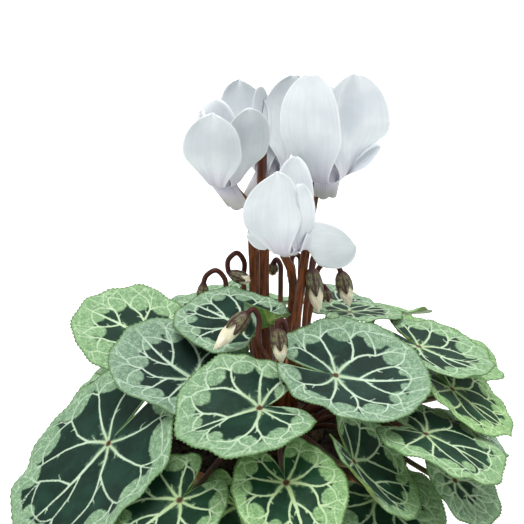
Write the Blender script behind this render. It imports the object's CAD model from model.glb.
"""A potted cyclamen: marbled heart-shaped leaves, white flowers with folded-back petals, hanging buds,
the tuber and soil that they grow from, and a plain clay pot. Shapes are worked out in millimetres and
written to the meshes in metres."""

import math

import bmesh
import bpy
import numpy as np
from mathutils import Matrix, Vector
from mathutils.geometry import delaunay_2d_cdt


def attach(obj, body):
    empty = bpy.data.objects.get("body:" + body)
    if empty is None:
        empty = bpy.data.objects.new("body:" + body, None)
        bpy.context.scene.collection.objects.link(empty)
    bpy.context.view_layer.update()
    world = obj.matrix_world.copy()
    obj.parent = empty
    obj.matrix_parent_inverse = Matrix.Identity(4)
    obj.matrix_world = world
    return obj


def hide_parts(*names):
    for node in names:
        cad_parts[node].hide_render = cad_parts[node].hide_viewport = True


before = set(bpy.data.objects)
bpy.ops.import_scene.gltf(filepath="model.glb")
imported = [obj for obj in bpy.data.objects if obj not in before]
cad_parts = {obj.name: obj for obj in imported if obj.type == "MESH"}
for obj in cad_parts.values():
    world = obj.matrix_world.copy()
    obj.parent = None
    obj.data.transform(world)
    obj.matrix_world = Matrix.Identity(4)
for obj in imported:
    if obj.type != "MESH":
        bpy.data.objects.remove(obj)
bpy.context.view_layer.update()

MM = 0.001
GAP = 0.3

# ---------- the same driving dimensions as the solids ----------

POT_HEIGHT, POT_TOP_RADIUS, POT_FOOT_RADIUS, POT_WALL, POT_FLOOR = 115, 65, 45, 4, 5
COLLAR_HEIGHT, COLLAR_STEP = 22, 3
DRAIN_RADIUS, DRAIN_RING_RADIUS, DRAINS = 5, 22, 4
SOIL_TOP, SOIL_MOUND = 103, 4
TUBER_RADIUS, TUBER_HEIGHT, TUBER_DEPTH, TUBER_CENTRE = 25, 13, 18, 108
LEAF_STALK_RADIUS, INNER_FEET_RADIUS, OUTER_FEET_RADIUS = 1.3, 14, 20.5
THROAT_RADIUS, THROAT_DEPTH, LIP_RADIUS, PETAL_FOOT = 5.9, 6, 5, 0.28
HOOK_RISE, STALK_BESIDE = 9, 9.2
FLOWER_STALK_RADIUS, BUD_STALK_RADIUS = 1.9, 1.25
FOOT_LIFT = 0.35
CLEFT_DEPTH = 0.86
FOLD_BACK = 0.045

LEAF_DEFAULTS = dict(cup=0.12, fold=0.05, phase=0, curl=0, outer=False, climb=0.75, stem=12, foot=None,
                     cleft=12, tint=0.5, band=0.6, fine=True)


def leaf_row(at, heading, droop, roll, size, **rest):
    """A leaf's joint, directions and size as in the solids. tint runs from bluish to yellowish green, and
    band is how far out the dark middle reaches."""
    return dict(LEAF_DEFAULTS, at=at, heading=heading, droop=droop, roll=roll, size=size, **rest)


LEAVES = {
    "back_left": leaf_row((-62, -5, 163), 158, -15, -16, 36, cup=0.02, foot=178, tint=0.55, band=0.52),
    "mid_left": leaf_row((-37, -53, 167), 134, -6, -8, 40, cup=0.18, phase=60, cleft=5, foot=-130, tint=0.05,
                         band=0.56),
    "top_left": leaf_row((-15.3, -32, 182), 140, -2, -6, 33, cup=0.04, phase=200, curl=0.9, foot=-106,
                         tint=0.15, band=0.66),
    "front_centre": leaf_row((-7, -84, 170), 202, 2, -16, 36, cup=-0.15, fold=0.35, phase=20, foot=-90,
                             cleft=20, tint=0.35, band=0.62),
    "centre_right": leaf_row((26, -61, 173), 3, 13, 16, 40, cup=0.2, phase=120, cleft=4.5, foot=-62,
                             tint=0.12, band=0.62),
    "top_right": leaf_row((36, 1, 173), 24, 8, -10, 26, cup=-0.02, phase=40, foot=-6, tint=0.4),
    "back_right": leaf_row((67, -21, 166), -40, 10, -11, 36, phase=75, foot=-28, tint=0.45),
    "right": leaf_row((81, -38, 153), -25, 31, -9, 33, cup=0.05, phase=150, outer=True, tint=0.95,
                      band=0.66),
    "low_right": leaf_row((65, -72, 150), -22, 12, -9, 37, cup=-0.15, fold=0.15, phase=10, outer=True,
                          climb=1.8, cleft=24, tint=0.6, band=0.66),
    "front_right": leaf_row((33.5, -80, 141), -12, 50, -2, 34, cup=0.25, fold=0.15, phase=90, outer=True,
                            cleft=16, tint=0.55, band=0.68),
    "front_low": leaf_row((4, -99, 143), -74, 24, 3, 31, cup=0, fold=0.15, phase=170, outer=True, tint=0.8,
                          band=0.6),
    "front_left": leaf_row((-41, -94, 131), 218, 24, -14, 31, phase=30, outer=True, tint=0.65, band=0.66),
    "big_left": leaf_row((-74, -63.5, 140), 202, 42, -5, 56, cup=0.03, fold=0, phase=160, cleft=4,
                         outer=True, tint=0.25, band=0.7),
    "rear_left": leaf_row((-64, 16, 143), 164, 30, 0, 27, phase=210, foot=150),
    "hem_right": leaf_row((79, -73, 127), -34, 40, 0, 24, phase=100, outer=True, foot=-38, tint=0.3,
                          band=0.4),
}

LEAF_RINGS = [
    dict(name="crown", compass=(52, 126), out=49, height=157, droop=21, size=30),
    dict(name="rear", compass=(12, 50, 90, 130), out=84, height=140, droop=26, size=36, outer=True),
    dict(name="hem", compass=(-151, -101, -57, -8, 31, 71, 111, 151), out=84, height=119, droop=15,
         size=33, cup=-0.1, outer=True, climb=0.2, stem=4),
]

for ring in LEAF_RINGS:
    rest = {key: value for key, value in ring.items() if key not in ("name", "compass", "out", "height")}
    for i, compass in enumerate(ring["compass"]):
        turn = math.radians(compass)
        LEAVES[f"{ring['name']}_{i + 1}"] = leaf_row(
            at=(ring["out"] * math.cos(turn), ring["out"] * math.sin(turn),
                ring["height"] + 3 * math.cos(5 * i)),
            heading=compass + 12 * math.sin(7 * i + 1),
            roll=8 * math.sin(3 * i + 2),
            phase=70 * i,
            tint=0.5 + 0.35 * math.sin(5 * i + ring["out"]),
            band=0.6 + 0.06 * math.sin(3 * i),
            fine=False,
            **rest,
        )

PETAL_STEP = 0.13


def petal_row(turn, lean, length, width=26, twist=14, twisted_by=0.8, bow=0, crease=None):
    """turn, lean and twist in degrees; twisted_by is a share of the length, and crease is a fold's place
    from -1 to 1 across the petal."""
    return dict(turn=turn, lean=lean, length=length, width=width, twist=twist, twisted_by=twisted_by,
                bow=bow, crease=crease)


FLOWERS = {
    "flower_right": dict(
        mouth=(23, -17, 248), tilt=3, tilt_to=180, stalk_turn=120, lip=8, slant=(-1, 2), foot=(5, -6),
        stalk=[(8, -24, 160), (9.4, -37.5, 188), (14.6, -21, 223)],
        petals=[
            petal_row(-114, 7, 54, 27, bow=-2.5),
            petal_row(-26, 8.5, 51, 30, twist=-60, twisted_by=0.6, bow=2, crease=-0.42),
            petal_row(30, 52, 25, 26, twist=0),
            petal_row(84, 8, 40),
            petal_row(162, 1, 34, 21),
        ],
    ),
    "flower_left": dict(
        mouth=(-24, -4, 241), tilt=3, tilt_to=0, stalk_turn=60, lip=9, slant=(8, -3), foot=(-5, 1),
        girth=2.35, stalk=[(-9.3, 6, 160), (-10, 6, 200), (-12, 4, 225)],
        petals=[
            petal_row(-108, 12, 39.5, 26.5, bow=-1.5),
            petal_row(-30, 8, 39.5, 25, twist=-34, twisted_by=0.45),
            petal_row(12, 6, 32, 22, twist=-60, twisted_by=0.5),
            petal_row(112, 9, 37, 21, twist=-22),
            petal_row(172, 4, 34, 18, twist=30),
        ],
    ),
    "flower_back": dict(
        mouth=(-3, 27, 236), tilt=2, tilt_to=90, stalk_turn=250, lip=14, slant=(-9, -2), foot=(-1, 6),
        girth=2.35, stalk=[(-4.3, 10, 160), (-4.9, 8.5, 200), (-4, 13, 224)],
        petals=[
            petal_row(-166, 7, 47, 27, twist=56),
            petal_row(-112, 5, 45, 20, twist=84),
            petal_row(-20, 5, 49, 28, twist=-56),
            petal_row(56, 8, 38),
            petal_row(126, 8, 38),
        ],
    ),
    "flower_front": dict(
        mouth=(4, -40, 224), tilt=4, tilt_to=190, stalk_turn=100, lip=1.5, slant=(1, 0), foot=(0, -4),
        stalk=[(4, -12, 160), (8, -20, 190), (7, -28, 208)],
        petals=[
            petal_row(-98, 4, 41, 24.5, bow=-3.4),
            petal_row(-42, 7, 34, 14, twist=-42, twisted_by=0.4),
            petal_row(-12, 85, 26, 27, twist=-74, twisted_by=0.3),
            petal_row(62, 11, 39, 18, twist=16),
            petal_row(150, 72, 14, 14, twist=70, twisted_by=0.4),
        ],
    ),
}

BUDS = {
    "bud_front_left": dict(
        neck=(-12, -55, 200.5), nib=(-27, -59, 184.5), calyx=10, radius=3.9, foot=(-3, -9),
        stalk=[(-1, -26, 150), (-3, -50, 174), (-7.5, -56, 187), (-7.5, -54, 198), (-10, -54.5, 202)]),
    "bud_front_middle": dict(
        neck=(0.5, -62, 197), nib=(2.5, -63, 180), calyx=9, radius=3.7, foot=(2, -9),
        stalk=[(4, -27, 150), (1.5, -48, 176), (1, -56, 187), (4, -59.5, 194), (3, -61, 199.5),
               (1, -62, 200)]),
    "bud_front_right": dict(
        neck=(16, -32, 211), nib=(19.5, -32, 189), calyx=11.5, radius=3.8, foot=(9, -4),
        stalk=[(13, -12, 160), (15, -14, 190), (17.5, -17, 207), (18, -24, 214.5), (16.5, -30, 214.5)]),
    "bud_right": dict(
        neck=(30.5, -10, 199.5), nib=(35, -11, 182), calyx=9.5, radius=3.8, foot=(10, 1),
        stalk=[(15, 0, 160), (19, -4, 190), (20.5, -7, 200), (25, -9, 204.5), (28.5, -10, 203)]),
    "bud_small_right": dict(
        neck=(24.5, 4, 184), nib=(26, 3, 177), calyx=5.5, radius=2.6, foot=(9, 6),
        stalk=[(14, 7, 155), (18, 7, 177), (21, 6, 184), (23, 5, 185.5)]),
    "bud_loop": dict(
        neck=(-21.5, 3, 193), nib=(-11.5, 1, 189.5), calyx=8, radius=3, foot=(-8, 5),
        stalk=[(-12, 9, 160), (-15, 9, 186), (-14.5, 8.5, 196), (-18, 6, 202), (-22, 4, 199)]),
    "bud_hook_left": dict(
        neck=(-34, 6, 186), nib=(-35, 6, 174), calyx=7.5, radius=2.8, foot=(-10, 1),
        stalk=[(-17, 6, 150), (-23, 8, 178), (-24, 7.5, 188), (-28, 7, 192.5), (-32.5, 6.5, 190)]),
    "bud_hook_middle": dict(
        neck=(-0.5, 14, 193), nib=(-1, 15, 186), calyx=4.5, radius=2.4, foot=(4, 9),
        stalk=[(3, 12, 160), (3, 12, 186), (2.8, 12, 193), (1, 13, 195.5)]),
    "bud_thin": dict(
        neck=(8, 14, 194), nib=(8.5, 14, 178), calyx=7.5, radius=2.1, foot=(8.6, 9),
        stalk=[(12, 15, 160), (12.5, 16, 186), (12, 15.5, 196), (9.5, 14.5, 197.5)]),
    "bud_hanging": dict(
        neck=(-9.8, 13, 218), nib=(-8.5, 13, 197), calyx=6, radius=3.2, foot=(-4, 9.5),
        stalk=[(-7, 15.5, 160), (-7.2, 16.5, 200), (-7.2, 16, 217), (-8, 15, 222.5), (-9.5, 13.6, 222)]),
}

# ---------- small maths ----------


def vec(*values):
    return np.array(values, float)


def unit(v):
    return v / np.linalg.norm(v)


def smooth(low, high, value):
    """0 at low, 1 at high and an S-shaped slope between them."""
    t = np.clip((np.asarray(value, float) - low) / (high - low), 0, 1)
    return t * t * (3 - 2 * t)


def turned(v, axis, angle):
    """v turned about a unit axis; every argument may have one row for each point."""
    v, axis = np.broadcast_arrays(v, axis)
    angle = np.asarray(angle, float)[..., None]
    dot = (v * axis).sum(-1, keepdims=True)
    return v * np.cos(angle) + np.cross(axis, v) * np.sin(angle) + axis * dot * (1 - np.cos(angle))


def compass_axes(angle):
    """The level directions that point outward and aside at a compass angle."""
    return vec(math.cos(angle), math.sin(angle), 0), vec(-math.sin(angle), math.cos(angle), 0)


def turns(count):
    """The angles of points spaced evenly round a circle."""
    return np.arange(count) * 2 * math.pi / count


def circle(radius, count, centre=(0, 0)):
    return centre + radius * np.stack([np.cos(turns(count)), np.sin(turns(count))], 1)


def foot_on_crown(x, y):
    """Where a stalk's foot stands on the tuber."""
    crown = TUBER_CENTRE + TUBER_HEIGHT * math.sqrt(1 - (math.hypot(x, y) / TUBER_RADIUS) ** 2)
    return (x, y, crown + GAP + FOOT_LIFT)


def pot_inner_radius(z):
    foot = POT_FOOT_RADIUS - POT_WALL
    top = POT_TOP_RADIUS - POT_WALL - COLLAR_STEP
    return foot + (top - foot) * (z - POT_FLOOR) / (POT_HEIGHT - POT_FLOOR)


def ripple(points, seed, waves, size):
    """A smooth random height, about -1 to 1, at each point; size is the width of its lumps."""
    draw = np.random.default_rng(seed)
    total = np.zeros(len(points))
    for _ in range(waves):
        direction = draw.normal(size=3)
        direction *= draw.uniform(0.6, 1.6) * 2 * math.pi / size / np.linalg.norm(direction)
        total += np.sin(points @ direction + draw.uniform(0, 2 * math.pi))
    return total / math.sqrt(waves)


def even(path, count):
    """The path's points respaced evenly along its length."""
    path = np.asarray(path, float)
    steps = np.linalg.norm(np.diff(path, axis=0), axis=1)
    along = np.concatenate([[0], np.cumsum(steps)])
    at = np.linspace(0, along[-1], count)
    return np.stack([np.interp(at, along, values) for values in path.T], 1)


def through(points, count):
    """A smooth curve through the points, with chords' square roots as its knot spacing."""
    p = np.asarray(points, float)
    p = np.concatenate([[2 * p[0] - p[1]], p, [2 * p[-1] - p[-2]]])
    curve = []
    for i in range(1, len(p) - 2):
        a, b, c, d = p[i - 1:i + 3]
        before, here, after = (max(1e-6, math.sqrt(np.linalg.norm(v))) for v in (b - a, c - b, d - c))
        leave = ((b - a) / before - (c - a) / (before + here) + (c - b) / here) * here
        arrive = ((c - b) / here - (d - b) / (here + after) + (d - c) / after) * here
        for w in np.linspace(0, 1, 40, endpoint=i == len(p) - 3):
            curve.append(b + leave * w + (3 * (c - b) - 2 * leave - arrive) * w ** 2
                         + (2 * (b - c) + leave + arrive) * w ** 3)
    return even(curve, count)


def bezier(a, b, c, d, count):
    t = np.linspace(0, 1, 80)[:, None]
    return even(a * (1 - t) ** 3 + 3 * b * t * (1 - t) ** 2 + 3 * c * t ** 2 * (1 - t) + d * t ** 3, count)


# ---------- meshes ----------

# The order of corners that turns triangles over, and how far a rod's end points stand out.
FLIPPED = [0, 2, 1]
ROD_END = 0.15


def vertex_normals(points, triangles):
    a, b, c = (points[triangles[:, k]] for k in range(3))
    face = np.cross(b - a, c - a)
    total = np.zeros_like(points)
    for axis in range(3):
        for corner in range(3):
            total[:, axis] += np.bincount(triangles[:, corner], face[:, axis], len(points))
    return total / np.maximum(np.linalg.norm(total, axis=1, keepdims=True), 1e-12)


def grid_triangles(rows, columns, around=False):
    """Triangles over a rows by columns grid; around joins the last column to the first."""
    wide = columns if around else columns - 1
    r, c = np.meshgrid(np.arange(rows - 1), np.arange(wide), indexing="ij")
    a = r * columns + c
    b = r * columns + (c + 1) % columns
    return np.stack([a, b, b + columns, a, b + columns, a + columns], -1).reshape(-1, 3)


def border(rows, columns):
    """The loop of points round a grid's edge."""
    index = np.arange(rows * columns).reshape(rows, columns)
    return np.concatenate([index[0, :-1], index[:-1, -1], index[-1, :0:-1], index[:0:-1, 0]])


def fan(middle, loop):
    """Triangles from one point to each step of a loop."""
    return np.stack([np.full(len(loop), middle), loop, np.roll(loop, -1)], 1)


def strip(loop, low):
    """Triangles between a loop and its copy, whose points come low places later."""
    after, below = np.roll(loop, -1), loop + low
    return np.concatenate([np.stack([loop, below, after], 1), np.stack([after, below, after + low], 1)])


def ring_points(radius, z, angle):
    """Points of level rings about +Z; radius and z have one value or one row of values for each ring."""
    radius, z = (np.reshape(values, (len(values), -1)) for values in (radius, z))
    return np.stack([radius * np.cos(angle), radius * np.sin(angle), z + 0 * angle], -1).reshape(-1, 3)


def capped_triangles(rows, sides):
    """Triangles over closed rings of points and over two more points that close the ends."""
    count = rows * sides
    first = np.arange(sides)
    return np.concatenate([grid_triangles(rows, sides, around=True), fan(count, first)[:, FLIPPED],
                           fan(count + 1, first + count - sides)])


def spun(radius, z, low, high, sides):
    """A closed surface of rings about +Z, with its ends on the axis at low and high."""
    points = np.concatenate([ring_points(radius, z, turns(sides)), [[0, 0, low], [0, 0, high]]])
    return points, capped_triangles(len(radius), sides)


def tube(path, radius, sides, lobes, depth):
    """A round rod along a path: points, triangles and, for each point, its share of the way along and of
    the way around. lobes and depth put lengthwise grooves into it."""
    tangent = np.gradient(path, axis=0)
    tangent /= np.linalg.norm(tangent, axis=1, keepdims=True)
    side = [np.cross(tangent[0], vec(0.31, 0.87, 0.2))]
    for t in tangent:
        side.append(unit(side[-1] - t * (side[-1] @ t)))
    side = np.array(side[1:])
    other = np.cross(tangent, side)
    angle = turns(sides)[:, None]
    ring = side[:, None] * np.cos(angle) + other[:, None] * np.sin(angle)
    swell = radius[:, None] * (1 + depth * np.cos(lobes * turns(sides)))
    points = (path[:, None] + ring * swell[..., None]).reshape(-1, 3)
    ends = path[[0, -1]] + tangent[[0, -1]] * [[-ROD_END], [ROD_END]]
    along = np.append(np.repeat(np.linspace(0, 1, len(path)), sides), [0, 1])
    around = np.append(np.tile(np.arange(sides) / sides, len(path)), [0, 0])
    return np.concatenate([points, ends]), capped_triangles(len(path), sides), along, around


def placed(name, data):
    """A new object in the scene."""
    item = bpy.data.objects.new(name, data)
    bpy.context.scene.collection.objects.link(item)
    return item


class Shape:
    """Collects points, triangles, material numbers, masks and map places, and makes one object."""

    def __init__(self):
        self.points, self.triangles, self.numbers, self.maps = [], [], [], []
        self.masks = {}
        self.count = 0

    def join(self, triangles, number=0):
        """Adds triangles between points by their numbers in the whole shape."""
        self.triangles.append(triangles)
        self.numbers.append(np.full(len(triangles), number))

    def add(self, points, triangles, number=0, places=None, **masks):
        self.points.append(points)
        self.join(triangles + self.count, number)
        self.maps.append(np.zeros((len(points), 2)) if places is None else places)
        for name in {**self.masks, **masks}:
            stored = self.masks.setdefault(name, [np.zeros(self.count)] if self.count else [])
            stored.append(np.broadcast_to(masks.get(name, 0.0), (len(points),)))
        self.count += len(points)

    def rod(self, path, radius, sides, lobes, depth, number=0, low=0):
        """A tube whose mask along runs from low to 1."""
        points, triangles, along, around = tube(path, radius, sides, lobes, depth)
        places = np.stack([along * 0.98 + 0.01, 0.02 + 0.2 * around], 1)
        self.add(points, triangles, number, places, along=low + (1 - low) * along, around=around)

    def sheet(self, middle, normal, over, under, triangles, loop, number=0, places=(None, None), **masks):
        """A thin sheet that reaches over and under its middle surface, closed along a loop; number is the
        lower face's material."""
        first = self.count
        self.add(middle + normal * over[:, None], triangles, 0, places[0], **masks)
        self.add(middle - normal * under[:, None], triangles[:, ::-1], number, places[1], **masks)
        self.join(strip(loop + first, len(middle)))

    def make(self, name, materials, mapped=False):
        triangles = np.concatenate(self.triangles).astype(np.int32)
        mesh = bpy.data.meshes.new(name)
        mesh.vertices.add(self.count)
        mesh.vertices.foreach_set("co", (np.concatenate(self.points) * MM).astype(np.float32).ravel())
        mesh.loops.add(triangles.size)
        mesh.loops.foreach_set("vertex_index", triangles.ravel())
        mesh.polygons.add(len(triangles))
        mesh.polygons.foreach_set("loop_start", np.arange(0, triangles.size, 3, dtype=np.int32))
        for surface in materials:
            mesh.materials.append(surface)
        mesh.polygons.foreach_set("material_index", np.concatenate(self.numbers).astype(np.int32))
        mesh.polygons.foreach_set("use_smooth", np.ones(len(triangles), bool))
        mesh.update(calc_edges=True)
        for mask, stored in self.masks.items():
            layer = mesh.attributes.new(mask, "FLOAT", "POINT")
            layer.data.foreach_set("value", np.concatenate(stored).astype(np.float32))
        if mapped:
            layer = mesh.uv_layers.new(name="OFBake")
            places = np.concatenate(self.maps)[triangles.ravel()]
            layer.data.foreach_set("uv", places.astype(np.float32).ravel())
        mesh.validate()
        return placed(name, mesh)


def finish_piece(piece, node):
    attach(piece, "root")
    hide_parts(node)


# ---------- materials ----------


def color(code):
    """A linear colour from a hex code."""
    parts = [int(code[i:i + 2], 16) / 255 for i in (1, 3, 5)]
    linear = [p / 12.92 if p <= 0.04045 else ((p + 0.055) / 1.055) ** 2.4 for p in parts]
    return (*linear, 1.0)


class Nodes:
    """Short names for building one material's nodes; a colour may be given as its hex code."""

    def __init__(self, name):
        self.material = bpy.data.materials.new(name)
        self.material.use_nodes = True
        self.tree = self.material.node_tree
        self.shader = next(n for n in self.tree.nodes if n.type == "BSDF_PRINCIPLED")

    def new(self, kind, inputs=(), **settings):
        node = self.tree.nodes.new(kind)
        for key, value in settings.items():
            setattr(node, key, value)
        for key, value in dict(inputs).items():
            self.feed(node.inputs[key], value)
        return node

    def feed(self, socket, value):
        if isinstance(value, bpy.types.NodeSocket):
            self.tree.links.new(value, socket)
        else:
            socket.default_value = color(value) if isinstance(value, str) else value

    def mask(self, name):
        return self.new("ShaderNodeAttribute", attribute_name=name).outputs["Fac"]

    def place(self):
        return self.new("ShaderNodeTexCoord").outputs["Object"]

    def noise(self, scale, detail=2.0, rough=0.5, vector=None):
        inputs = {"Scale": scale, "Detail": detail, "Roughness": rough, "Vector": vector or self.place()}
        return self.new("ShaderNodeTexNoise", inputs).outputs["Fac"]

    def streaks(self, lanes, rows, detail=3, rough=0.6, side="around"):
        """Noise that runs along a piece, in many lanes across it and few rows along it."""
        join = self.new("ShaderNodeCombineXYZ", {"X": self.times(self.mask(side), lanes),
                                                 "Y": self.times(self.mask("along"), rows)})
        return self.noise(1.0, detail, rough, join.outputs["Vector"])

    def cracks(self, scale):
        """The distance from the nearest border between small cells."""
        inputs = {"Scale": scale, "Vector": self.place()}
        return self.new("ShaderNodeTexVoronoi", inputs, feature="DISTANCE_TO_EDGE").outputs["Distance"]

    def maths(self, kind, a, b):
        return self.new("ShaderNodeMath", {0: a, 1: b}, operation=kind).outputs[0]

    def plus(self, a, b):
        return self.maths("ADD", a, b)

    def times(self, a, b):
        return self.maths("MULTIPLY", a, b)

    def step(self, value, low, high, to_low=0.0, to_high=1.0):
        inputs = {"Value": value, "From Min": low, "From Max": high, "To Min": to_low, "To Max": to_high}
        return self.new("ShaderNodeMapRange", inputs, interpolation_type="SMOOTHSTEP").outputs["Result"]

    def mix(self, amount, a, b):
        node = self.new("ShaderNodeMix", data_type="RGBA")
        for key, kind, value in (("Factor", "VALUE", amount), ("A", "RGBA", a), ("B", "RGBA", b)):
            self.feed(next(s for s in node.inputs if s.name == key and s.type == kind), value)
        return next(s for s in node.outputs if s.type == "RGBA")

    def between(self, value, low, high, a, b):
        """Colour a where the value is low, b where it is high."""
        return self.mix(self.step(value, low, high), a, b)

    def over(self, body, top, value, low, high, most=1.0):
        """The body with a top colour laid over it, by at most a share, where the value nears high."""
        return self.mix(self.step(value, low, high, 0, most), body, top)

    def finish(self, body, roughness, height=None, strength=0.3, distance=0.0004, **constants):
        self.feed(self.shader.inputs["Base Color"], body)
        self.feed(self.shader.inputs["Roughness"], roughness)
        for key, value in constants.items():
            self.shader.inputs[key.replace("_", " ")].default_value = value
        if height is not None:
            bump = self.new("ShaderNodeBump", {"Height": height, "Strength": strength, "Distance": distance})
            self.tree.links.new(bump.outputs["Normal"], self.shader.inputs["Normal"])
        return self.material


def blade_material():
    n = Nodes("leaf_upper_face")
    grain, lumps, broad = n.noise(1700, 3, 0.65), n.noise(520, 3, 0.6), n.noise(90, 2)
    margin, joint, vein, tint = (n.mask(name) for name in ("margin", "joint", "vein", "tint"))

    def tinted(bluish, yellowish):
        return n.mix(tint, bluish, yellowish)

    dark = n.over(tinted("#0f251f", "#0e331e"), tinted("#19332c", "#1a4629"), broad, 0.4, 0.7)
    dark = n.over(dark, "#2c5142", lumps, 0.55, 0.75, 0.3)
    dark = n.over(dark, "#8aa899", grain, 0.7, 0.76, 0.35)
    pale = n.over(tinted("#718c77", "#80a86d"), tinted("#97b197", "#a0c689"), lumps, 0.4, 0.66)
    pale = n.over(pale, tinted("#55745e", "#598248"), grain, 0.46, 0.62, 0.85)
    pale = n.over(pale, tinted("#a9c4ae", "#b4d09a"), n.cracks(330), 0.07, 0.0, 0.22)
    uneven = n.times(n.plus(lumps, -0.5), 1.3)
    body = n.over(dark, pale, n.plus(n.mask("pale"), uneven), -0.6, 0.55)
    body = n.over(body, tinted("#86a57f", "#92ba74"), margin, 3.2, 0.4, 0.3)
    body = n.over(body, tinted("#7d9d88", "#80a670"), n.plus(n.mask("haze"), uneven), 0.25, 1.0, 0.55)
    jag = n.times(n.plus(n.noise(1100, 2), -0.5), 0.5)
    strength = n.times(n.step(n.plus(vein, jag), -0.34, 0.26), n.step(n.mask("pale"), -0.5, 3.0, 1.0, 0.85))
    veins = n.over(tinted("#bcd2be", "#bfd7a3"), tinted("#9fb38f", "#a6bc70"), joint, 14, 3, 0.6)
    body = n.mix(strength, body, veins)
    body = n.over(body, tinted("#8fa88f", "#98b463"), vein, 0.35, 1.0, 0.35)
    rim = n.step(n.plus(margin, n.times(lumps, 0.5)), 0.95, 0.3)
    body = n.mix(n.times(rim, 0.75), body, "#466632")
    body = n.over(body, "#50321f", n.plus(joint, n.times(lumps, 1.2)), 2.7, 1.5)
    relief = n.plus(grain, n.times(lumps, 0.8))
    return n.finish(body, n.step(grain, 0.3, 0.7, 0.5, 0.66), relief, 0.4, 0.0003, Specular_IOR_Level=0.18)


def underside_material():
    n = Nodes("leaf_under_face")
    lumps = n.noise(300, 3, 0.6)
    body = n.between(lumps, 0.35, 0.7, "#4c7426", "#6b8f3a")
    body = n.over(body, "#9fb366", n.mask("vein"), -0.5, 0.3, 0.7)
    body = n.over(body, "#6b4a35", n.noise(40, 2), 0.5, 0.75, 0.35)
    return n.finish(body, 0.5, lumps, 0.3, 0.0003)


def leaf_stalk_material():
    n = Nodes("leaf_stalk_skin")
    fibre = n.streaks(26, 9)
    low = n.between(fibre, 0.35, 0.7, "#2e1712", "#532c20")
    high = n.between(fibre, 0.35, 0.7, "#3f3a1f", "#66603a")
    body = n.over(low, high, n.mask("along"), 0.55, 1.0)
    return n.finish(body, 0.5, fibre, 0.2, 0.0002, Specular_IOR_Level=0.3)


def stalk_material():
    n = Nodes("flower_stalk_skin")
    fibre = n.streaks(16, 14, detail=4)
    hook = n.between(fibre, 0.3, 0.7, "#2b100d", "#4a211a")
    body = n.over(n.between(fibre, 0.35, 0.68, "#3f1e0e", "#80461f"), hook, n.mask("along"), 0.72, 0.95)
    body = n.over(body, "#8a5c3a", n.noise(2200, 2), 0.62, 0.75, 0.2)
    return n.finish(body, 0.5, fibre, 0.35, 0.0003, Specular_IOR_Level=0.25)


def sepal_material():
    n = Nodes("sepal_skin")
    streak, specks = n.streaks(22, 4), n.noise(1500, 2, 0.6)
    body = n.between(streak, 0.4, 0.62, "#3b1b1a", "#6b6f46")
    body = n.over(body, "#93996a", specks, 0.55, 0.7, 0.5)
    body = n.over(body, "#3a1818", n.mask("keel"), 0.35, 0.8)
    body = n.over(body, "#3a1712", n.mask("along"), 0.25, 0.02)
    return n.finish(body, 0.5, n.plus(streak, specks), 0.3, 0.0003)


def bud_material():
    n = Nodes("bud_petals_skin")
    streak = n.streaks(30, 3, rough=0.5)
    body = n.between(streak, 0.35, 0.7, "#e2d7b8", "#f7f1de")
    body = n.over(body, "#b9a983", n.mask("groove"), 0.35, 0.95, 0.6)
    body = n.over(body, "#c2c49a", n.mask("along"), 0.4, 0.0, 0.35)
    return n.finish(body, 0.5, streak, 0.15, 0.0002, Subsurface_Weight=0.2, Subsurface_Scale=0.002)


def petal_material():
    n = Nodes("petal_skin")
    streak = n.streaks(9, 1.1, rough=0.55, side="across")
    fine = n.streaks(60, 2.2, 2, 0.5, side="across")
    body = n.between(n.noise(70, 3), 0.35, 0.65, "#ced4d8", "#dbe0e3")
    body = n.over(body, "#bfc7cd", streak, 0.45, 0.75, 0.3)
    body = n.over(body, "#b9c0c9", fine, 0.4, 0.7, 0.2)
    blush = n.times(n.step(n.mask("along"), 0.34, 0.04), n.step(fine, 0.35, 0.62, 0.25, 1.0))
    body = n.mix(n.times(blush, 0.6), body, "#ad98b2")
    body = n.over(body, "#a5a49d", n.mask("throat"), 0.1, 0.8, 0.88)
    body = n.over(body, "#e8ecee", n.mask("rim"), 1.0, 0.15, 0.7)
    return n.finish(body, 0.55, n.plus(streak, fine), 0.12, 0.0002, Specular_IOR_Level=0.3,
                    Subsurface_Weight=0.35, Subsurface_Scale=0.0012, Subsurface_Radius=(1, 1, 1))


def clay_material():
    n = Nodes("fired_clay")
    broad, fine = n.noise(28, 4, 0.6), n.noise(900, 3, 0.6)
    body = n.between(broad, 0.3, 0.7, "#9c5a3c", "#b9765a")
    body = n.over(body, "#cf9a80", fine, 0.55, 0.7, 0.4)
    body = n.over(body, "#d9c3b2", n.noise(14, 5, 0.65), 0.56, 0.72, 0.3)
    return n.finish(body, 0.85, n.plus(fine, broad), 0.4, 0.0004)


def soil_material():
    n = Nodes("damp_peat")
    coarse, fine = n.noise(380, 4, 0.7), n.noise(1400, 3, 0.6)
    body = n.between(coarse, 0.35, 0.65, "#140d09", "#33241a")
    body = n.over(body, "#5a4330", fine, 0.6, 0.72, 0.6)
    return n.finish(body, 0.95, n.plus(coarse, fine), 0.7, 0.001)


def tuber_material():
    n = Nodes("corky_skin")
    plates, fine = n.cracks(260), n.noise(900, 4, 0.65)
    body = n.between(fine, 0.35, 0.7, "#3a2a1e", "#6a523d")
    body = n.over(body, "#1e140e", plates, 0.09, 0.0, 0.8)
    return n.finish(body, 0.9, n.plus(plates, fine), 0.6, 0.0008)


def floor_material():
    n = Nodes("studio_floor")
    return n.finish("#fbfbfb", 0.9, Emission_Color=(1, 1, 1, 1), Emission_Strength=0.3)


BLADE, UNDER, LEAF_STALK = blade_material(), underside_material(), leaf_stalk_material()
STALK, SEPAL, BUD, PETAL = stalk_material(), sepal_material(), bud_material(), petal_material()
CLAY, SOIL, TUBER = clay_material(), soil_material(), tuber_material()

# ---------- camera, floor and lights, in metres ----------

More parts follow.
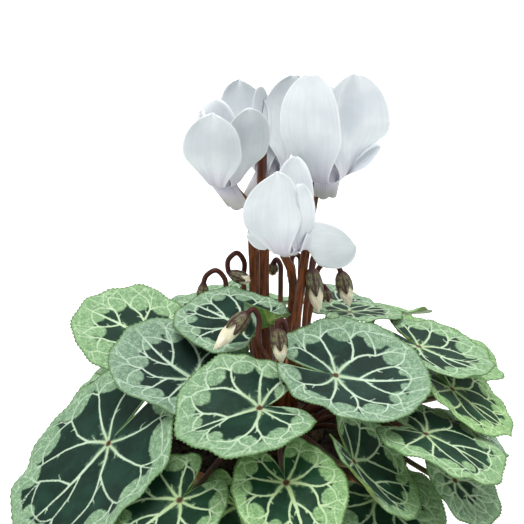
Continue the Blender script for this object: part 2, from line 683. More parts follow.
EYE, EYE_PITCH = (-0.006, -0.5481, 0.444), 66
SENSOR_WIDTH, LENS = 36, 87.7
FLOOR_REACH, FLOOR_BELOW = 6.0, 0.0002
SKY_COLOR, SKY_STRENGTH = (0.97, 0.99, 1.0, 1), 0.58
LIGHT_SIZE, LIGHT_AIM = 1.6, (0, 0.3, 0.1)


def softbox(name, place, power, tone):
    lamp = bpy.data.lights.new(name, "AREA")
    lamp.shape = "SQUARE"
    lamp.size = LIGHT_SIZE
    lamp.energy = power
    lamp.color = tone
    box = placed(name, lamp)
    box.location = place
    direction = unit(vec(*LIGHT_AIM) - vec(*place))
    heading = math.atan2(direction[1], direction[0])
    box.rotation_euler = (math.acos(-direction[2]), 0, heading - math.pi / 2)


def studio():
    camera = bpy.data.cameras.new("camera")
    camera.sensor_width = SENSOR_WIDTH
    camera.lens = LENS
    eye = placed("camera", camera)
    eye.location = EYE
    eye.rotation_euler = (math.radians(EYE_PITCH), 0, 0)
    bpy.context.scene.camera = eye

    mesh = bpy.data.meshes.new("floor")
    corners = [(x * FLOOR_REACH, y * FLOOR_REACH, 0) for x, y in ((-1, -1), (1, -1), (1, 1), (-1, 1))]
    mesh.from_pydata(corners, [], [(0, 1, 2, 3)])
    mesh.materials.append(floor_material())
    floor = placed("floor", mesh)
    floor.location.z = -FLOOR_BELOW

    world = bpy.data.worlds.new("studio")
    world.use_nodes = True
    background = world.node_tree.nodes["Background"]
    background.inputs["Color"].default_value = SKY_COLOR
    background.inputs["Strength"].default_value = SKY_STRENGTH
    bpy.context.scene.world = world

    softbox("key", (-0.4, -0.9, 3.2), 88, (1.0, 0.995, 0.98))
    softbox("back", (0.9, 1.8, 2.6), 35, (1.0, 1.0, 1.0))
    bpy.context.scene.view_settings.view_transform = "Standard"


studio()

# ---------- leaves ----------

FINE_RINGS, PLAIN_RINGS = 100, 46
FINE_TEETH, PLAIN_TEETH = (0.0, 0.3, 0.62, 0.5, 0.1), (0.0, 0.5)
# Waves round a blade and their heights, for size 1: of its margin's reach and of its height.
REACH_WAVES = ((9, 0.011), (15, 0.008))
HEIGHT_WAVES = ((7, 0.016), (11, 0.012), (17, 0.008))
BLADE_EDGE, BLADE_SWELL = 0.3, 0.42
WAVES, WAVE, CURL_REACH = 4, 0.03, 60
FULL_TURN = 6.28
# Where veins and patches lie, in degrees from the tip; widths in mm; bows and radii for size 1.
SIDE_VEINS = (17, 38, 72, 106, 146)
VEIN_BOWS = (0.07, 0.09, -0.07, -0.05, -0.08)
VEIN_WIDTHS = (0.4, 0.46, 0.46, 0.6, 0.52)
FORK_WIDTH, ARCH_WIDTH = 0.34, 0.2
CROTCH = 54
ARCHES = (27, 55, 89, 125, 164)
PATCH_RADII = (0.11, 0.17, 0.18, 0.19, 0.15)
SMALL_PATCHES = (8, 46, 80, 115, 138)
VEIN_STEP, VEIN_JITTER = 0.06, 0.0022
PUFF, VEIN_GROOVE, VEIN_KEEL = 0.42, 0.16, 0.25


def edge_distance(angle, cleft):
    """How far the margin lies from the joint at a turn from the tip, for size 1."""
    whole = 0.8 + 0.15 * np.cos(angle) + 0.05 * np.cos(2 * angle)
    from_cleft = (math.pi - np.abs(angle)) / math.radians(cleft)
    return whole * (1 - CLEFT_DEPTH * np.exp(-from_cleft ** 2))


def leaf_axes(leaf):
    heading, droop, roll = (math.radians(leaf[key]) for key in ("heading", "droop", "roll"))
    outward, level = compass_axes(heading)
    tip = outward * math.cos(droop) - vec(0, 0, math.sin(droop))
    left = level * math.cos(roll) + np.cross(tip, level) * math.sin(roll)
    return tip, left, np.cross(tip, left)


def blade_points(leaf, axes, share, angle, tooth, seed):
    """The blade's middle surface, as in the solids, with teeth and a finer wave along its margin."""
    tip, left, up = axes
    size = leaf["size"]
    draw = np.random.default_rng(seed)
    reach = edge_distance(angle, leaf["cleft"]) + tooth / size
    for waves, amount in REACH_WAVES:
        reach = reach * (1 + amount * share ** 4 * np.sin(waves * angle + draw.uniform(0, FULL_TURN)))
    near_cleft = smooth(math.radians(CURL_REACH), 0, np.abs(math.pi - np.abs(angle)))
    curl = leaf["curl"] * near_cleft * share ** 3
    distance = size * share * reach * (1 - 0.35 * curl)
    wave = WAVE * share ** 3 * np.sin(WAVES * angle + math.radians(leaf["phase"]))
    for waves, amount in HEIGHT_WAVES:
        wave = wave + amount * share ** 5 * np.sin(waves * angle + draw.uniform(0, FULL_TURN))
    fold = leaf["fold"] * share * reach * np.abs(np.sin(angle))
    rise = leaf["cup"] * (share * reach) ** 2 + fold + wave + 0.5 * curl
    return (vec(*leaf["at"]) + tip * (distance * np.cos(angle))[:, None]
            + left * (distance * np.sin(angle))[:, None] + up * (size * rise)[:, None])


def disc(rings):
    """A round net: ring k has 6k points. Gives each point's share and turn, and the triangles."""
    share, turn, triangles = [[0.0]], [[0.0]], []
    start, before = 1, 0
    for k in range(1, rings + 1):
        n, m = 6 * k, max(1, 6 * (k - 1))
        share.append(np.full(n, k / rings))
        turn.append(turns(n) - math.pi)
        for sector in range(6):
            i = np.arange(k)
            outer, outer_next = start + sector * k + i, start + (sector * k + i + 1) % n
            inner = before + (sector * (k - 1) + i) % m
            triangles.append(np.stack([inner, outer, outer_next], 1))
            if k > 1:
                inner_next = before + (sector * (k - 1) + i[:-1] + 1) % m
                triangles.append(np.stack([inner[:-1], outer_next[:-1], inner_next], 1))
        before, start = start, start + n
    return np.concatenate(share), np.concatenate(turn), np.concatenate(triangles)


def vein_network(draw, leaf):
    """Vein pieces of one leaf at size 1, from its joint: start, end and half widths in mm; and the round
    pale patches between the veins: middle and radius."""
    pieces, patches = [], []
    cleft, band = leaf["cleft"], leaf["band"]
    joint = vec(0, 0)

    def spot(degrees, share):
        turn = math.radians(degrees)
        return share * float(edge_distance(turn, cleft)) * vec(math.cos(turn), math.sin(turn))

    def stray_spot(degrees, low, high, stray=3, side=1, base=0):
        """A spot near a turn from the tip, at a random share of the way to the margin."""
        degrees = side * (degrees + draw.normal(0, stray))
        return spot(degrees, base + draw.uniform(low, high))

    def run(start, end, wide, narrow, bow):
        """A vein that bows to the left of its way by a share of its length."""
        way = end - start
        count = max(3, int(np.linalg.norm(way) / VEIN_STEP))
        t = np.linspace(0, 1, count + 1)[:, None]
        path = start + way * t + vec(-way[1], way[0]) * bow * np.sin(math.pi * t)
        path[1:-1] += draw.normal(0, VEIN_JITTER, (count - 1, 2))
        widths = wide + (narrow - wide) * np.arange(count + 1) / count
        pieces.extend(np.column_stack([path[:-1], path[1:], widths[:-1], widths[1:]]))
        return path

    def spurs(path, count):
        for _ in range(count):
            i = int(draw.uniform(0.25, 0.85) * (len(path) - 1))
            way = path[i + 1] - path[i]
            heading = math.atan2(way[1], way[0]) + draw.choice((-1, 1)) * draw.uniform(0.5, 1.0)
            reach = 0.05 * draw.uniform(0.7, 1.9)
            tip = path[i] + reach * vec(math.cos(heading), math.sin(heading))
            run(path[i], tip, 0.3, 0.04, draw.normal(0, 0.12))

    def twig(start, degrees, wide):
        tip = stray_spot(degrees, 0.93, 0.99)
        path = run(start, tip, wide, 0.1, draw.normal(0, 0.08))
        if draw.random() < 0.7:
            beside = degrees + draw.choice((-1, 1)) * draw.uniform(4, 9)
            run(path[len(path) // 2], spot(beside, 0.97), 0.2, 0.08, 0)

    middle = run(joint, spot(0, 0.95), 0.92, 0.22, draw.normal(0, 0.03))
    spurs(middle, 2)
    for side in (-1, 1):
        nodes = [stray_spot(degrees, 0.8, 0.9, side=side) for degrees in ARCHES]
        forks = [stray_spot(degrees, -0.02, 0.12, side=side, base=band) for degrees in SIDE_VEINS]
        crotch = stray_spot(CROTCH, 0.24, 0.4, 5, side)
        spurs(run(joint, crotch, 0.72, 0.52, side * 0.05), 1)
        starts = [middle[int(draw.uniform(0.3, 0.45) * len(middle))], crotch, crotch, joint, joint]
        ends = [middle[int(0.86 * len(middle))], *nodes]
        for i, degrees in enumerate(SIDE_VEINS):
            bow = side * (VEIN_BOWS[i] + draw.normal(0, 0.03))
            spurs(run(starts[i], forks[i], VEIN_WIDTHS[i], FORK_WIDTH, bow), 1)
            run(forks[i], ends[i], FORK_WIDTH, ARCH_WIDTH, side * draw.uniform(0.08, 0.22))
            run(forks[i], ends[i + 1], FORK_WIDTH, ARCH_WIDTH, -side * draw.uniform(0.08, 0.22))
            twig(forks[i], side * degrees + draw.normal(0, 2), 0.27)
        for degrees, node in zip(ARCHES, nodes):
            twig(node, side * (degrees + 4), 0.22)
            twig(node, side * (degrees - 4), 0.2)
        for degrees, radius in zip(ARCHES, PATCH_RADII):
            radius *= draw.uniform(0.75, 1.15)
            past = radius / float(edge_distance(math.radians(degrees), cleft))
            share = band * draw.uniform(0.96, 1.1) + past
            patches.append((*spot(side * (degrees + draw.normal(0, 2)), share), radius))
        for degrees in SMALL_PATCHES:
            share = band + draw.uniform(0.14, 0.2)
            patches.append((*spot(side * (degrees + draw.normal(0, 3)), share), draw.uniform(0.05, 0.09)))
    return pieces, patches


def vein_depth(x, y, size, pieces):
    """How deep in a vein each blade point lies, in mm; below 0 outside the veins."""
    deep = np.full(len(x), -9.0)
    for x0, y0, x1, y1, w0, w1 in pieces:
        dx, dy = x1 - x0, y1 - y0
        t = np.clip(((x - x0) * dx + (y - y0) * dy) / (dx * dx + dy * dy), 0, 1)
        away = np.hypot(x - x0 - t * dx, y - y0 - t * dy)
        np.maximum(deep, (w0 + t * (w1 - w0)) - away * size, out=deep)
    return deep


DISCS = {rings: disc(rings) for rings in (FINE_RINGS, PLAIN_RINGS)}


def add_blade(shape, leaf, axes, number):
    """A toothed blade, puffed up between its veins and thin at its margin."""
    draw = np.random.default_rng(100 + number)
    rings, teeth = (FINE_RINGS, FINE_TEETH) if leaf["fine"] else (PLAIN_RINGS, PLAIN_TEETH)
    share, turn, triangles = DISCS[rings]
    angle = turn + 0.3 * np.sin(turn)
    around = 6 * rings
    tooth = np.zeros(len(share))
    tooth[-around:] = np.resize(teeth, around) * draw.uniform(0.7, 1.1, around)
    middle = blade_points(leaf, axes, share, angle, tooth, 300 + number)
    normal = vertex_normals(middle, triangles)

    size = leaf["size"]
    edge = edge_distance(angle, leaf["cleft"])
    x, y = share * edge * np.cos(angle), share * edge * np.sin(angle)
    pieces, patches = vein_network(draw, leaf)
    deep = vein_depth(x, y, size, pieces)
    band_end = min(0.88, leaf["band"] + 0.17) + 0.03 * np.sin(7 * angle + draw.uniform(0, 6))
    pale = (share - band_end) * edge
    for px, py, radius in patches:
        pale = np.maximum(pale, radius - np.hypot(x - px, y - py))
    away = np.maximum(-deep, 0)
    haze = np.exp(-away / 1.2) * (0.3 + 0.7 * smooth(0.6, 0.05, share))
    margin = (1 - share) * size * edge
    puff = PUFF * (1 - np.exp(-away / 2.0)) * smooth(0, 3.0, margin)
    groove = VEIN_GROOVE * smooth(-0.4, 0.4, deep)
    keel = VEIN_KEEL * smooth(-0.5, 0.6, deep)
    half = (BLADE_EDGE + BLADE_SWELL * smooth(0, 2.5, margin)) / 2
    flat = 0.24 * np.stack([share * np.cos(turn), share * np.sin(turn)], 1)
    loop = np.arange(len(share) - around, len(share))
    places = (flat + (0.25, 0.5), flat + (0.75, 0.5))
    shape.sheet(middle, normal, half + puff - groove, half + keel, triangles, loop, 1, places, vein=deep,
                pale=pale * size, haze=haze, margin=margin, tint=leaf["tint"], joint=share * size * edge)


def add_leaf_stalk(shape, leaf, up):
    at = vec(*leaf["at"])
    compass = math.atan2(at[1], at[0]) if leaf["foot"] is None else math.radians(leaf["foot"])
    ring = OUTER_FEET_RADIUS if leaf["outer"] else INNER_FEET_RADIUS
    outward, _ = compass_axes(compass)
    foot = vec(*foot_on_crown(ring * outward[0], ring * outward[1]))
    span = math.hypot(at[0], at[1]) - ring
    leave = foot + outward * span * 0.3 + vec(0, 0, span * 0.3 * leaf["climb"] + 3)
    top = at - up * 0.1
    path = bezier(foot, leave, top - up * leaf["stem"], top, 44)
    along = np.linspace(0, 1, len(path))
    radius = LEAF_STALK_RADIUS * (0.95 + 0.2 * smooth(0.85, 1, along) + 0.15 * smooth(0.1, 0, along))
    shape.rod(path, radius, 12, 2, 0.05, number=2)


def leaf_piece(number, name, leaf):
    axes = leaf_axes(leaf)
    shape = Shape()
    add_blade(shape, leaf, axes, number)
    add_leaf_stalk(shape, leaf, axes[2])
    piece = shape.make(f"{name}_blade_and_stalk", [BLADE, UNDER, LEAF_STALK], mapped=True)
    finish_piece(piece, f"leaf_{name}")


for number, (name, leaf) in enumerate(LEAVES.items()):
    leaf_piece(number, name, leaf)

# ---------- flowers ----------

PETAL_ROWS, PETAL_COLUMNS = 72, 33
PETAL_WIDEST, PETAL_CLOSES = 0.46, 1.005
FOLD_START, PETAL_CUP = 100, 0.2
PETAL_EDGE, PETAL_SWELL = 0.22, 0.36
CREASE_DEPTH = 3.2
SEPALS, SEPAL_LENGTH, SEPAL_WIDTH = 5, 4.6, 1.9


def petal_outline(s):
    """A petal's width as a share of its greatest: flared from the foot, widest near its middle and
    bluntly pointed."""
    past = np.clip((s - PETAL_WIDEST) / (PETAL_CLOSES - PETAL_WIDEST), 0, 1)
    flared = PETAL_FOOT + (1 - PETAL_FOOT) * smooth(0, PETAL_WIDEST, s)
    return np.where(s < PETAL_WIDEST, flared, (1 - past ** 2.4) ** 0.58)


def petal_arch(petal, s):
    """How far out and how far up a petal's middle line is at its shares, and its angle from upright."""
    lean = math.radians(petal["lean"])

    def angle(share):
        return lean + (math.radians(FOLD_START) - lean) * np.exp(-share / FOLD_BACK)

    def way(part):
        steps = np.cumsum((part[1:] + part[:-1]) / 2 * petal["length"] / (len(fine) - 1))
        return np.interp(s, fine, np.append(0, steps))

    fine = np.linspace(0, 1, 1400)
    return way(np.sin(angle(fine))), way(np.cos(angle(fine))), angle(s)


def petal_relief(petal, u, v, draw):
    """The height of a petal's pleats, swells, ruffled edges and crease at its shares across and along."""
    a, b, c, d = draw.uniform(0, 6, 4)
    pleat = 0.16 * np.sin(9 * u + 2 * np.sin(3 * v + a)) * smooth(0.02, 0.12, v) * smooth(0.75, 0.25, v)
    swell = 0.5 * np.sin(2.6 * u + 3.1 * v + b) * smooth(0.1, 0.5, v)
    ruffle = 0.8 * np.sin(4 * v + 2.5 * u + c) + 0.45 * np.sin(8 * v - 3 * u + d)
    near_edge = np.abs(u) ** 3 * smooth(0.2, 0.6, v) + 0.5 * smooth(0.8, 1, v)
    flare = 0.9 * np.abs(u) ** 6 * smooth(0.3, 0.6, v)
    relief = pleat + swell + 0.7 * ruffle * near_edge + flare
    if petal["crease"] is not None:
        past = u - petal["crease"] - 0.25 * (1 - v)
        valley = smooth(-0.28, 0, past) * smooth(0.62, 0, past) * smooth(0.18, 0.4, v) * smooth(1.05, 0.8, v)
        relief -= CREASE_DEPTH * valley
    return relief


def petal_surface(petal, step, seed):
    """Middle surface of one petal in its flower's frame, as a grid, with its shares along and across and
    each row's half width."""
    outward, aside = compass_axes(math.radians(petal["turn"]))
    up = vec(0, 0, 1)
    s = np.linspace(0, 1, PETAL_ROWS) ** 0.85
    out, rise, angle = petal_arch(petal, s)
    middle = outward * (THROAT_RADIUS - 0.8 + out)[:, None] + up * (step + rise)[:, None]
    forward = outward * np.sin(angle)[:, None] + up * np.cos(angle)[:, None]
    across = turned(aside, forward, math.radians(petal["twist"]) * smooth(0.05, petal["twisted_by"], s))
    face = np.cross(across, forward)
    half = petal["width"] / 2 * petal_outline(s)
    u, v = np.meshgrid(np.linspace(-1, 1, PETAL_COLUMNS), s)
    reach = u * half[:, None]
    relief = petal_relief(petal, u, v, np.random.default_rng(seed))
    lift = relief - PETAL_CUP * reach ** 2 / petal["width"]
    sideways = reach + petal["bow"] * np.sin(math.pi * v)
    points = middle[:, None] + across[:, None] * sideways[..., None] + face[:, None] * lift[..., None]
    return points, v.ravel(), u.ravel(), half


def flower_turn(flower):
    """Moves points from a flower's own frame into place."""
    tilt = math.radians(flower["tilt"])
    _, axis = compass_axes(math.radians(flower["tilt_to"]))
    return lambda points: turned(points, axis, tilt) + flower["mouth"]


def add_petal(shape, place, petal, step, seed):
    points, v, u, half = petal_surface(petal, step, seed)
    middle = place(points).reshape(-1, 3)
    triangles = grid_triangles(PETAL_ROWS, PETAL_COLUMNS)
    rim = np.minimum((1 - np.abs(u)) * np.repeat(half, PETAL_COLUMNS), (1 - v) * petal["length"])
    thick = (PETAL_EDGE + PETAL_SWELL * smooth(0, 2.0, rim)) / 2
    loop = border(PETAL_ROWS, PETAL_COLUMNS)
    shape.sheet(middle, vertex_normals(middle, triangles), thick, thick, triangles, loop,
                along=v, across=u, rim=rim)


def add_throat(shape, place, flower):
    """The short cup that the petals fold back from: a style inside, five pleats at its mouth."""
    lip = flower["lip"]
    style = [(0.5, -2.4), (0.62, 0), (1.1, THROAT_DEPTH - 1.8)]
    floor = [(2.6, THROAT_DEPTH - 1.3), (THROAT_RADIUS - 1.9, THROAT_DEPTH * 0.5)]
    inside = [(THROAT_RADIUS - 1.1, 0.1), (LIP_RADIUS - 0.8, -lip * 0.95), (LIP_RADIUS - 0.4, -lip)]
    outside = [(LIP_RADIUS, -lip * 0.97), (THROAT_RADIUS - 0.3, -lip * 0.3), (THROAT_RADIUS, 0)]
    back = [(THROAT_RADIUS - 0.7, THROAT_DEPTH * 0.5), (3.4, THROAT_DEPTH - 0.4)]
    profile = np.concatenate([style, floor, even(inside, 14), even(outside, 14), back])
    points, triangles = spun(*profile.T, -2.6, THROAT_DEPTH, 60)
    below = np.clip(-points[:, 2] / lip, 0, 1) * (np.hypot(points[:, 0], points[:, 1]) > 1)
    around = np.arctan2(points[:, 1], points[:, 0])
    pleat = np.abs(np.sin(SEPALS / 2 * around))
    points[:, :2] *= (1 + below * 0.09 * (pleat - 0.6))[:, None]
    points[:, 2] -= below * 0.12 * lip * pleat
    points[:, :2] += below[:, None] * flower["slant"]
    shape.add(place(points), triangles, along=0.1 - 0.08 * below, across=around / math.pi, rim=2,
              throat=below)


def hooked_path(flower, place):
    """From the tuber, up beside the flower and over into its closed end."""
    outward, _ = compass_axes(math.radians(flower["stalk_turn"]))
    calyx, beside = THROAT_DEPTH + GAP + 1, STALK_BESIDE
    hook = [(beside, -4), (beside - 0.4, 4), (beside - 1, calyx + HOOK_RISE * 0.55),
            (beside * 0.5, calyx + HOOK_RISE), (beside * 0.1, calyx + HOOK_RISE * 0.6), (0, calyx)]
    hook = place([r * outward + vec(0, 0, z) for r, z in hook])
    return through([foot_on_crown(*flower["foot"]), *flower["stalk"], *hook], 220)


def add_sepal(shape, place, k):
    """One pointed sepal over the throat's closed end."""
    rows, columns = 12, 9
    v, u = np.meshgrid(np.linspace(0, 1, rows), np.linspace(-1, 1, columns), indexing="ij")
    outward, aside = compass_axes(k * 2 * math.pi / SEPALS)
    half = SEPAL_WIDTH * (1 - v ** 1.6) * (0.75 + 0.5 * v)
    height = THROAT_DEPTH + GAP + 1.1 - v ** 2 - 0.25 * u ** 2 * (1 - v)
    middle = outward * (v * SEPAL_LENGTH)[..., None] + aside * (u * half)[..., None]
    middle = (middle + vec(0, 0, 1) * height[..., None]).reshape(-1, 3)
    top = grid_triangles(rows, columns)
    edge = strip(border(rows, columns), len(middle))[:, FLIPPED]
    points = np.concatenate([middle + vec(0, 0, 0.3), middle - vec(0, 0, 0.15)])
    keel = np.tile(1 - np.abs(u.ravel()), 2)
    shape.add(place(points), np.concatenate([top[:, ::-1], top + len(middle), edge]), 1,
              along=np.tile(v.ravel(), 2), around=keel, keel=keel)


def flower_pieces(number, name, flower):
    place = flower_turn(flower)
    shape = Shape()
    for i, petal in enumerate(flower["petals"]):
        add_petal(shape, place, petal, i * PETAL_STEP, 500 + 10 * number + i)
    add_throat(shape, place, flower)
    finish_piece(shape.make(f"{name}_corolla", [PETAL]), f"{name}_petals")

    shape = Shape()
    path = hooked_path(flower, place)
    t = np.linspace(0, 1, len(path))
    swell = 1.04 - 0.12 * smooth(0.55, 1, t) + 0.02 * np.sin(23 * t)
    radius = flower.get("girth", FLOWER_STALK_RADIUS) * swell
    shape.rod(path, radius, 24, 6, 0.045)
    for k in range(SEPALS):
        add_sepal(shape, place, k)
    finish_piece(shape.make(f"{name}_hooked_stalk", [STALK, SEPAL]), f"{name}_stalk")


for number, (name, flower) in enumerate(FLOWERS.items()):
    flower_pieces(number, name, flower)

# ---------- buds ----------

BUD_SIDES, BUD_ROWS, CALYX_ROWS = 60, 48, 30
# Shares of the way to the tip, and a bud's width there as a share of its greatest.
BUD_OUTLINE = ([0, 0.15, 0.3, 0.5, 0.7, 0.88, 0.97, 1], [0.84, 0.86, 0.82, 0.66, 0.44, 0.22, 0.1, 0.03])
# Likewise for a calyx; its first width is the stalk's.
CALYX_SHARES, CALYX_WIDTHS = [0, 0.12, 0.3, 0.6, 0.85, 1.0, 1.25], [0.62, 0.86, 1.0, 0.99, 0.95, 0.86]


def aimed(neck, nib):
    """Places points of a bud, whose +Z runs from its neck to its nib."""
    axis = unit(nib - neck)
    side = unit(np.cross(axis, vec(0.2, 0.9, 0.1)))
    other = np.cross(axis, side)
    return lambda p: neck + p[..., :1] * side + p[..., 1:2] * other + p[..., 2:] * axis


def bud_petals(name, bud, place, length):
    """Petals rolled round each other to a blunt tip, from inside the calyx."""
    start, mouth = bud["calyx"] * 0.62, bud["calyx"] + GAP
    t = np.linspace(0, 1, BUD_ROWS)
    z = start + (length - start) * t
    free = np.clip((z - mouth) / (length - mouth), 0, 1)
    around = turns(BUD_SIDES)
    wrap = np.abs(np.sin(2.5 * (2.4 * t[:, None] + around))) ** 0.6
    radius = bud["radius"] * np.interp(free, *BUD_OUTLINE)[:, None] * (0.9 + 0.12 * wrap)
    points, triangles = spun(radius, z, start, length, BUD_SIDES)
    shape = Shape()
    shape.add(place(points), triangles, 0, along=np.append(np.repeat(free, BUD_SIDES), [0, 1]),
              around=np.append(np.tile(around, BUD_ROWS) / (2 * math.pi), [0, 0]),
              groove=np.append((1 - wrap) ** 2, [0, 0]))
    finish_piece(shape.make(f"{name}_rolled_petals", [BUD]), f"{name}_petals")


def add_calyx(shape, bud, place):
    """Five sepals grown together into a cup, with a keel down each."""
    calyx, radius = bud["calyx"], bud["radius"]
    around = turns(BUD_SIDES)
    t = np.linspace(0, 1, CALYX_ROWS)[:, None]
    z = t * calyx * (0.66 + 0.42 * np.abs(np.cos(2.5 * around)) ** 1.5)
    body = np.interp(z / calyx, CALYX_SHARES, [BUD_STALK_RADIUS / radius * 1.1, *CALYX_WIDTHS])
    keel = 0.5 + 0.5 * np.cos(5 * around)
    flare = radius * body * (1 + 0.035 * keel * smooth(0.1, 0.6, t)) + 0.12
    thin = flare - 0.1 - 0.45 * smooth(1, 0.7, t)
    walls = [ring_points(flare, z, around), ring_points(thin, z + 0.02, around)]
    low = CALYX_ROWS * BUD_SIDES
    wall = grid_triangles(CALYX_ROWS, BUD_SIDES, around=True)
    first = np.arange(BUD_SIDES)
    lip = strip(first + low - BUD_SIDES, low)[:, FLIPPED]
    ends = [fan(2 * low, first)[:, FLIPPED], fan(2 * low + 1, first + low)]
    triangles = np.concatenate([wall, wall[:, ::-1] + low, lip, *ends])
    shape.add(place(np.concatenate([*walls, [[0, 0, -0.2], [0, 0, 0.5]]])), triangles, 1,
              along=np.append(np.tile(np.repeat(t, BUD_SIDES), 2), [0, 0]),
              around=np.append(np.tile(around, 2 * CALYX_ROWS) / (2 * math.pi), [0, 0]),
              keel=np.append(np.tile(keel ** 5, 2 * CALYX_ROWS), [0, 0]))


def bud_pieces(name, bud):
    neck, nib = vec(*bud["neck"]), vec(*bud["nib"])
    place = aimed(neck, nib)
    bud_petals(name, bud, place, float(np.linalg.norm(nib - neck)))
    shape = Shape()
    sunk = neck + unit(nib - neck) * 1.5
    path = through([foot_on_crown(*bud["foot"]), *bud["stalk"], neck, sunk], 200)
    radius = BUD_STALK_RADIUS * (1.05 - 0.08 * np.linspace(0, 1, len(path)))
    shape.rod(path, radius, 20, 5, 0.04, low=0.3)
    add_calyx(shape, bud, place)
    finish_piece(shape.make(f"{name}_calyx_and_stalk", [STALK, SEPAL]), f"{name}_stalk")


for name, bud in BUDS.items():
    bud_pieces(name, bud)

# ---------- pot, soil and tuber ----------

POT_SIDES, POT_ROWS, DRAIN_SIDES = 144, 170, 24
CORNER_RADIUS, CORNER_STEPS = 1.3, 4
SOIL_RINGS, SOIL_WALL_ROWS, CRUMBS = 64, 14, 900
TUBER_ROWS, TUBER_SIDES = 90, 150


def rounded(profile):
    """A profile with its corners rounded; its two ends stay."""
    profile = [vec(*p) for p in profile]
    out = [profile[0]]
    for a, b, c in zip(profile, profile[1:], profile[2:]):
        before, after = b - a, c - b
        cut = min(CORNER_RADIUS, 0.45 * np.linalg.norm(before), 0.45 * np.linalg.norm(after))
        p, q = b - unit(before) * cut, b + unit(after) * cut
        for t in np.linspace(0, 1, CORNER_STEPS + 1):
            out.append(p * (1 - t) ** 2 + b * 2 * t * (1 - t) + q * t ** 2)
    return [*out, profile[-1]]


def drain_centres():
    return [DRAIN_RING_RADIUS * compass_axes((i + 0.5) * 2 * math.pi / DRAINS)[0][:2] for i in range(DRAINS)]


def floor_plate(shape, level, radius, downward):
    """A flat round plate with the drain holes left open."""
    corners, edges = [], []
    holes = [circle(DRAIN_RADIUS, DRAIN_SIDES, centre) for centre in drain_centres()]
    for points in (circle(radius, POT_SIDES), *holes):
        numbers = len(corners) + np.arange(len(points))
        corners.extend(Vector(p) for p in points.tolist())
        edges.extend(np.stack([numbers, np.roll(numbers, -1)], 1).tolist())
    places, _, faces, *_ = delaunay_2d_cdt(corners, edges, [], 1, 1e-6)
    places = np.array([tuple(p) for p in places])
    kept = []
    for face in faces:
        middle = places[list(face)].mean(0)
        if all(np.linalg.norm(middle - centre) > DRAIN_RADIUS * 0.99 for centre in drain_centres()):
            kept.append(face[::-1] if downward else face)
    shape.add(np.column_stack([places, np.full(len(places), float(level))]), np.array(kept))


def pot_piece():
    """A pot turned in one wall, with a collar, faint throwing ribs and drain holes through its floor."""
    collar = POT_HEIGHT - COLLAR_HEIGHT
    shoulder = pot_inner_radius(collar) + POT_WALL
    under, inside = POT_FOOT_RADIUS - 5, pot_inner_radius(POT_FLOOR) - 6
    profile = rounded([
        (under, 0), (POT_FOOT_RADIUS, 0), (shoulder, collar), (POT_TOP_RADIUS - 1, collar),
        (POT_TOP_RADIUS, POT_HEIGHT), (pot_inner_radius(POT_HEIGHT), POT_HEIGHT),
        (pot_inner_radius(POT_FLOOR), POT_FLOOR), (inside, POT_FLOOR)])
    radius, z = even(profile, POT_ROWS).T
    ribs = 0.05 * np.sin(z * 3.1) * smooth(2, 8, z) * smooth(under, POT_FOOT_RADIUS, radius)
    shape = Shape()
    wall = ring_points(radius + ribs, z, turns(POT_SIDES))
    shape.add(wall, grid_triangles(POT_ROWS, POT_SIDES, around=True))
    floor_plate(shape, 0, under, True)
    floor_plate(shape, POT_FLOOR, inside, False)
    for centre in drain_centres():
        hole = circle(DRAIN_RADIUS, DRAIN_SIDES, centre)
        rims = [np.column_stack([hole, np.full(DRAIN_SIDES, level)]) for level in (0, POT_FLOOR)]
        shape.add(np.concatenate(rims), grid_triangles(2, DRAIN_SIDES, around=True)[:, ::-1])
    finish_piece(shape.make("clay_pot", [CLAY]), "pot")


def mound(r, reach):
    """Height of the soil over its rim."""
    return np.interp(r, [TUBER_RADIUS + 6, reach - 8, reach], [SOIL_MOUND, SOIL_MOUND * 0.4, 0])


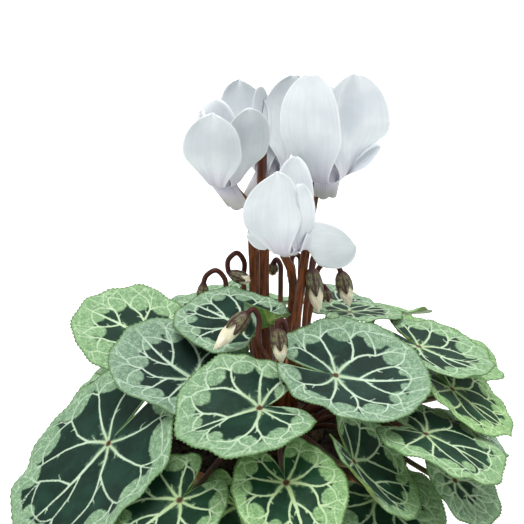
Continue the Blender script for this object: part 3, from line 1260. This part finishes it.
def soil_piece():
    """Crumbly soil with a hollow for the tuber, and loose crumbs on it."""
    draw = np.random.default_rng(40)
    reach = pot_inner_radius(SOIL_TOP) - GAP
    share, turn, triangles = disc(SOIL_RINGS)
    r = share * reach
    flat = np.stack([r * np.cos(turn), r * np.sin(turn), np.zeros(len(r))], 1)
    rough = 0.55 * ripple(flat, 41, 20, 9) + 0.35 * ripple(flat, 42, 24, 4) + draw.normal(0, 0.22, len(r))
    height = SOIL_TOP + mound(r, reach) + np.minimum(rough, 1.2) * smooth(reach, reach - 3, r)
    hollow = TUBER_RADIUS + GAP
    sink = TUBER_CENTRE - TUBER_DEPTH * np.sqrt(np.maximum(0, 1 - (r / hollow) ** 2))
    height = np.where(r < hollow, np.minimum(height, sink), height)
    shape = Shape()
    shape.add(flat + vec(0, 0, 1) * height[:, None], triangles)

    sides = 6 * SOIL_RINGS
    z = np.linspace(SOIL_TOP, POT_FLOOR + GAP, SOIL_WALL_ROWS)
    wall = ring_points(pot_inner_radius(z) - GAP, z, turn[-sides:])
    wall[:sides, 2] = height[-sides:]
    last = len(wall) - sides + np.arange(sides)
    faces = [grid_triangles(SOIL_WALL_ROWS, sides, around=True)[:, ::-1], fan(len(wall), last)[:, FLIPPED]]
    shape.add(np.append(wall, [[0, 0, POT_FLOOR + GAP]], 0), np.concatenate(faces))

    crumb, crumb_faces = small_ball()
    for _ in range(CRUMBS):
        size = draw.uniform(0.4, 1.5)
        outward, _ = compass_axes(draw.uniform(0, 2 * math.pi))
        out = math.sqrt(draw.uniform((TUBER_RADIUS + 3) ** 2, (reach - 3) ** 2))
        lump = crumb * draw.uniform(0.6, 1.2, 3) * size * draw.uniform(0.8, 1.2, (len(crumb), 1))
        base = SOIL_TOP + float(mound(out, reach)) + 0.2
        shape.add(lump + out * outward + vec(0, 0, base), crumb_faces)
    finish_piece(shape.make("peat", [SOIL]), "soil")


def small_ball():
    """A small ball of 42 points."""
    ball = bmesh.new()
    bmesh.ops.create_icosphere(ball, subdivisions=2, radius=1)
    points = np.array([tuple(v.co) for v in ball.verts])
    faces = np.array([[v.index for v in f.verts] for f in ball.faces])
    ball.free()
    return points, faces


def tuber_piece():
    """A flattened corky ball."""
    tilt = np.linspace(-math.pi / 2, math.pi / 2, TUBER_ROWS)[1:-1]
    height = np.where(tilt < 0, TUBER_DEPTH, TUBER_HEIGHT) * np.sin(tilt)
    points, triangles = spun(TUBER_RADIUS * np.cos(tilt), height, -TUBER_DEPTH, TUBER_HEIGHT, TUBER_SIDES)
    rough = -0.45 + 0.4 * ripple(points, 51, 16, 8) + 0.22 * ripple(points, 52, 20, 2.6)
    points += vertex_normals(points, triangles) * np.minimum(rough, 0.1)[:, None] + vec(0, 0, TUBER_CENTRE)
    shape = Shape()
    shape.add(points, triangles)
    finish_piece(shape.make("corky_tuber", [TUBER]), "tuber")


pot_piece()
soil_piece()
tuber_piece()
